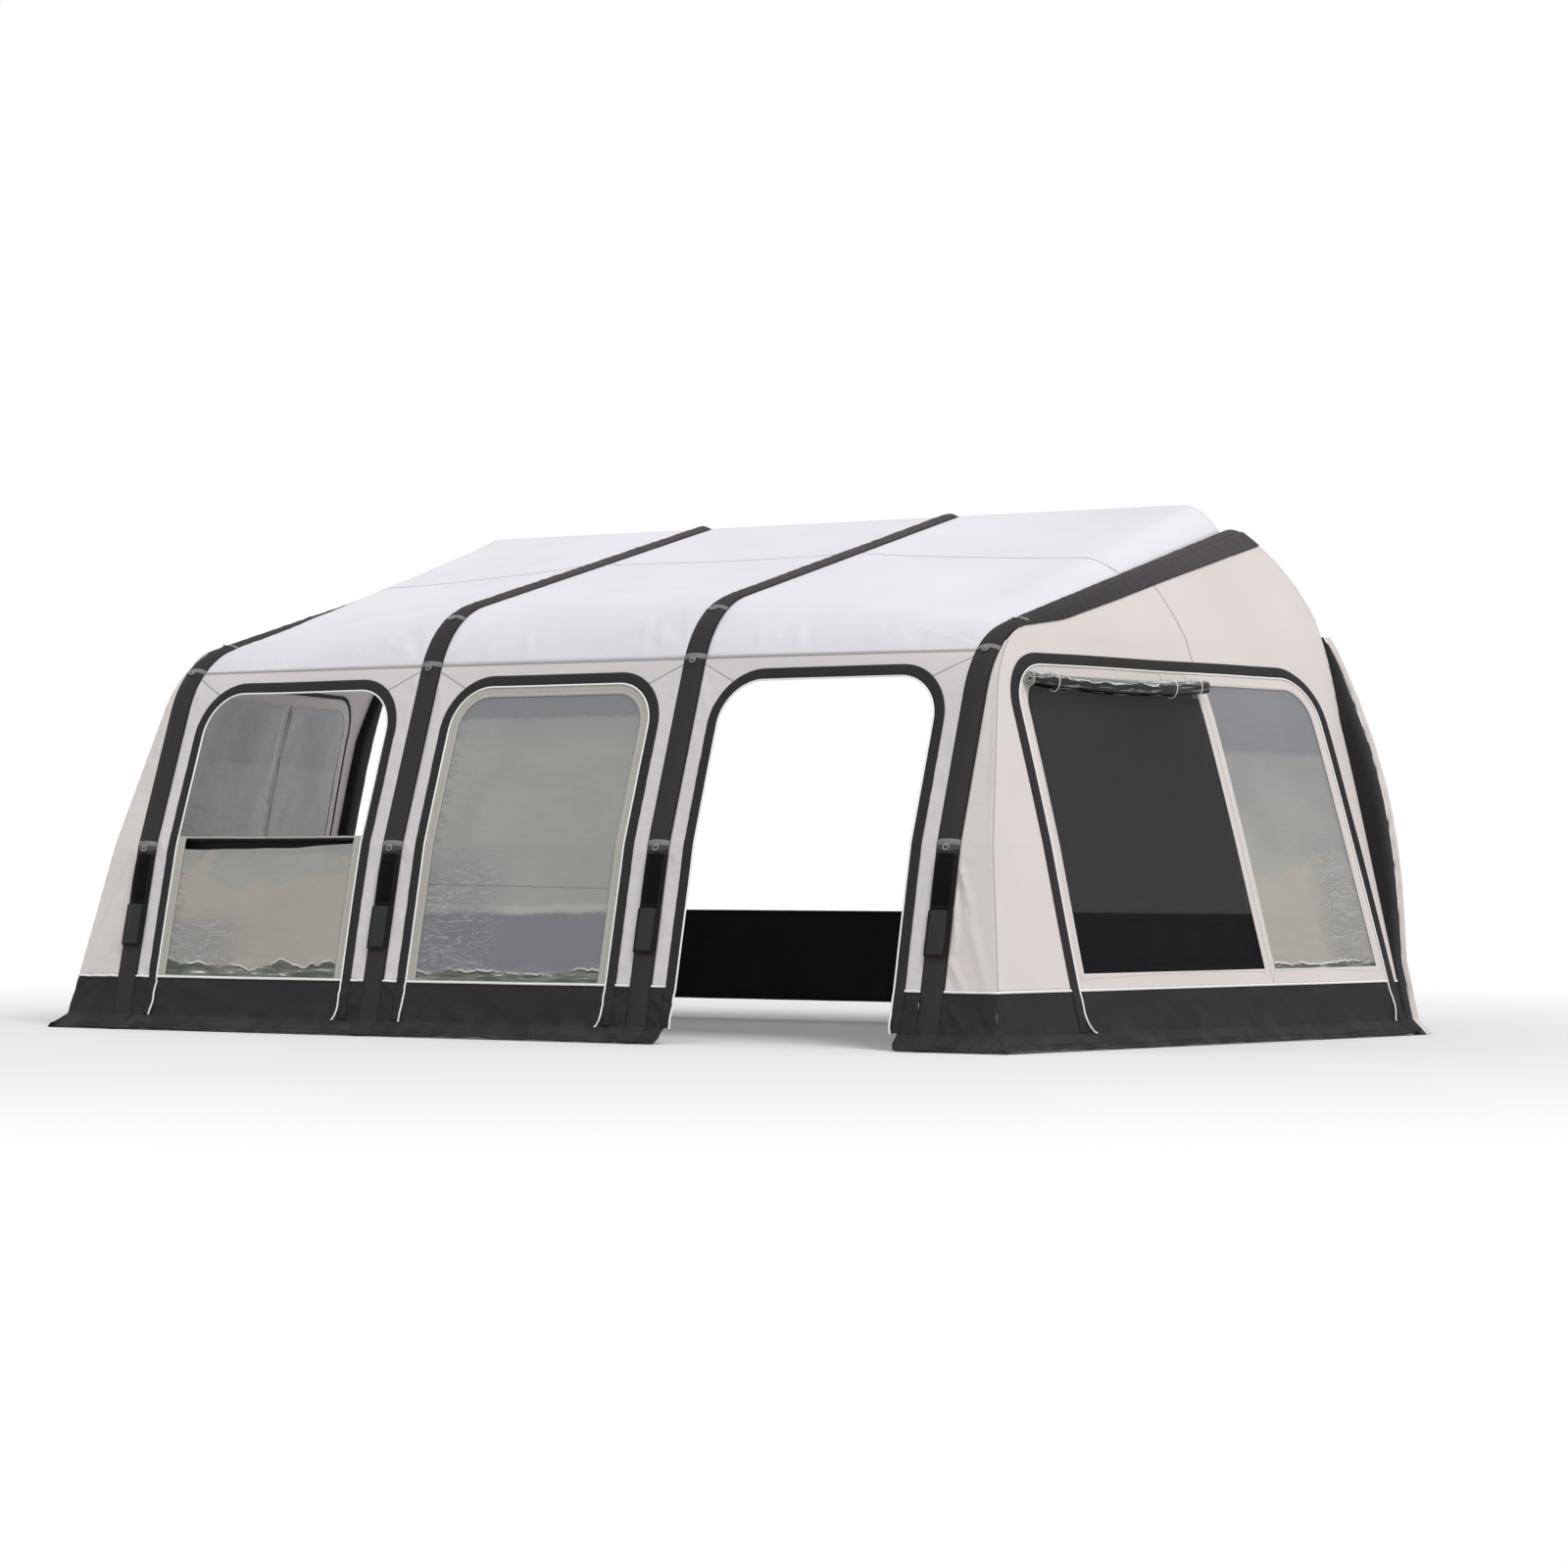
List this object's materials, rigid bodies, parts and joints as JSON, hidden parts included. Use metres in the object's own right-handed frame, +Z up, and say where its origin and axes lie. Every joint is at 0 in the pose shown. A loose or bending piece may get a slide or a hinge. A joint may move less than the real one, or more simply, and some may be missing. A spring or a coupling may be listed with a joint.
{
  "type": "caravan awning",
  "caption": "Inflatable caravan awning on air beams, with a front doorway, a half-lowered veranda panel, window panels, side windows, mud walls and a rear bead for the caravan's rail",
  "frame": {"origin": "on the ground, at the middle of the footprint's box", "axes": "X along the caravan's side, Y from the awning's front towards the caravan, Z up"},
  "size_m": [6.783, 3.016, 2.6173],
  "materials": {
    "front_cloth": "coated warm grey polyester with a fine weave",
    "roof_cloth": "coated pale lavender grey polyester",
    "side_cloth": "coated pale beige polyester",
    "window_border": "coated beige grey polyester",
    "dark_cloth": "charcoal coated cloth",
    "beam_cover_cloth": "dark grey cloth, stretched over the beams",
    "flap_cloth": "black cloth with a hook and loop edge",
    "air_beam_cloth": "dark sleeve over an inflated tube",
    "clear_film": "clear film, a little slack",
    "insect_mesh": "fine black insect mesh",
    "valve_plastic": "moulded black plastic",
    "rail_tube": "dark coated tube",
    "zip_metal": "black enamelled zip slider"
  },
  "bodies": {
    "shell": {"air_beam_1": "air_beam_cloth", "air_beam_2": "air_beam_cloth", "air_beam_3": "air_beam_cloth", "air_beam_4": "air_beam_cloth", "beam_cover_1": "beam_cover_cloth", "beam_cover_2": "beam_cover_cloth", "beam_cover_3": "beam_cover_cloth", "beam_cover_4": "beam_cover_cloth", "draught_pad_left": "dark_cloth", "draught_pad_right": "dark_cloth", "draught_skirt": "dark_cloth", "film_roll_right": "clear_film", "front_wall_door": "front_cloth", "front_wall_left": "front_cloth", "front_wall_middle": "front_cloth", "middle_film": "clear_film", "middle_panel": "window_border", "mud_wall_door_left": "dark_cloth", "mud_wall_door_right": "dark_cloth", "mud_wall_left": "dark_cloth", "mud_wall_middle": "dark_cloth", "mud_wall_side_left": "dark_cloth", "mud_wall_side_right": "dark_cloth", "rail_bead": "front_cloth", "roof_panel_door": "roof_cloth", "roof_panel_left": "roof_cloth", "roof_panel_middle": "roof_cloth", "side_front_film_left": "clear_film", "side_front_mesh_right": "insect_mesh", "side_panel_left": "window_border", "side_panel_right": "window_border", "side_rear_film_left": "clear_film", "side_rear_film_right": "clear_film", "side_wall_left": "side_cloth", "side_wall_right": "side_cloth", "side_zip_band_left": "dark_cloth", "side_zip_band_right": "dark_cloth", "veranda_film": "clear_film", "veranda_lower_panel": "window_border", "veranda_rail": "rail_tube", "zip_band_door": "dark_cloth", "zip_band_left": "dark_cloth", "zip_band_middle": "dark_cloth"},
    "valve_flap_1": {"valve_flap_1": "flap_cloth"},
    "guy_pouch_flap_1": {"guy_pouch_flap_1": "flap_cloth"},
    "valve_cap_1": {"valve_cap_1": "valve_plastic"},
    "valve_flap_2": {"valve_flap_2": "flap_cloth"},
    "guy_pouch_flap_2": {"guy_pouch_flap_2": "flap_cloth"},
    "valve_cap_2": {"valve_cap_2": "valve_plastic"},
    "valve_flap_3": {"valve_flap_3": "flap_cloth"},
    "guy_pouch_flap_3": {"guy_pouch_flap_3": "flap_cloth"},
    "valve_cap_3": {"valve_cap_3": "valve_plastic"},
    "valve_flap_4": {"valve_flap_4": "flap_cloth"},
    "guy_pouch_flap_4": {"guy_pouch_flap_4": "flap_cloth"},
    "valve_cap_4": {"valve_cap_4": "valve_plastic"},
    "veranda_upper_panel": {"veranda_upper_panel": "window_border"},
    "zip_slider_left": {"zip_slider_left": "zip_metal"},
    "zip_slider_right": {"zip_slider_right": "zip_metal"}
  },
  "joints": [
    {"name": "valve_flap_1_hinge", "type": "hinge", "parent": "shell", "child": "valve_flap_1", "pos_m": [-2.25, -1.27291, 0.8542], "axis": [-1, 0, 0], "range_deg": [0, 110]},
    {"name": "guy_pouch_flap_1_hinge", "type": "hinge", "parent": "shell", "child": "guy_pouch_flap_1", "pos_m": [-2.25, -1.33935, 0.60884], "axis": [-1, 0, 0], "range_deg": [0, 135]},
    {"name": "valve_cap_1_turn", "type": "hinge", "parent": "shell", "child": "valve_cap_1", "pos_m": [-2.25, -1.3027, 0.72946], "axis": [0, -0.9748, 0.2232], "range_deg": [0, 360]},
    {"name": "valve_flap_2_hinge", "type": "hinge", "parent": "shell", "child": "valve_flap_2", "pos_m": [-0.75, -1.27291, 0.8542], "axis": [-1, 0, 0], "range_deg": [0, 110]},
    {"name": "guy_pouch_flap_2_hinge", "type": "hinge", "parent": "shell", "child": "guy_pouch_flap_2", "pos_m": [-0.75, -1.33935, 0.60884], "axis": [-1, 0, 0], "range_deg": [0, 135]},
    {"name": "valve_cap_2_turn", "type": "hinge", "parent": "shell", "child": "valve_cap_2", "pos_m": [-0.75, -1.3027, 0.72946], "axis": [0, -0.9748, 0.2232], "range_deg": [0, 360]},
    {"name": "valve_flap_3_hinge", "type": "hinge", "parent": "shell", "child": "valve_flap_3", "pos_m": [0.75, -1.27291, 0.8542], "axis": [-1, 0, 0], "range_deg": [0, 110]},
    {"name": "guy_pouch_flap_3_hinge", "type": "hinge", "parent": "shell", "child": "guy_pouch_flap_3", "pos_m": [0.75, -1.33935, 0.60884], "axis": [-1, 0, 0], "range_deg": [0, 135]},
    {"name": "valve_cap_3_turn", "type": "hinge", "parent": "shell", "child": "valve_cap_3", "pos_m": [0.75, -1.3027, 0.72946], "axis": [0, -0.9748, 0.2232], "range_deg": [0, 360]},
    {"name": "valve_flap_4_hinge", "type": "hinge", "parent": "shell", "child": "valve_flap_4", "pos_m": [2.25, -1.27291, 0.8542], "axis": [-1, 0, 0], "range_deg": [0, 110]},
    {"name": "guy_pouch_flap_4_hinge", "type": "hinge", "parent": "shell", "child": "guy_pouch_flap_4", "pos_m": [2.25, -1.33935, 0.60884], "axis": [-1, 0, 0], "range_deg": [0, 135]},
    {"name": "valve_cap_4_turn", "type": "hinge", "parent": "shell", "child": "valve_cap_4", "pos_m": [2.25, -1.3027, 0.72946], "axis": [0, -0.9748, 0.2232], "range_deg": [0, 360]},
    {"name": "veranda_upper_panel_hinge", "type": "hinge", "parent": "shell", "child": "veranda_upper_panel", "pos_m": [-1.5, -1.19223, 0.925], "axis": [1, 0, 0], "range_deg": [0, 155]},
    {"name": "zip_slider_left_slide", "type": "slide", "parent": "shell", "child": "zip_slider_left", "axis": [0, 0.3387, 0.9409], "range_m": [0, 0.4]},
    {"name": "zip_slider_right_slide", "type": "slide", "parent": "shell", "child": "zip_slider_right", "axis": [0, 0.3387, 0.9409], "range_m": [0, 0.4]}
  ]
}
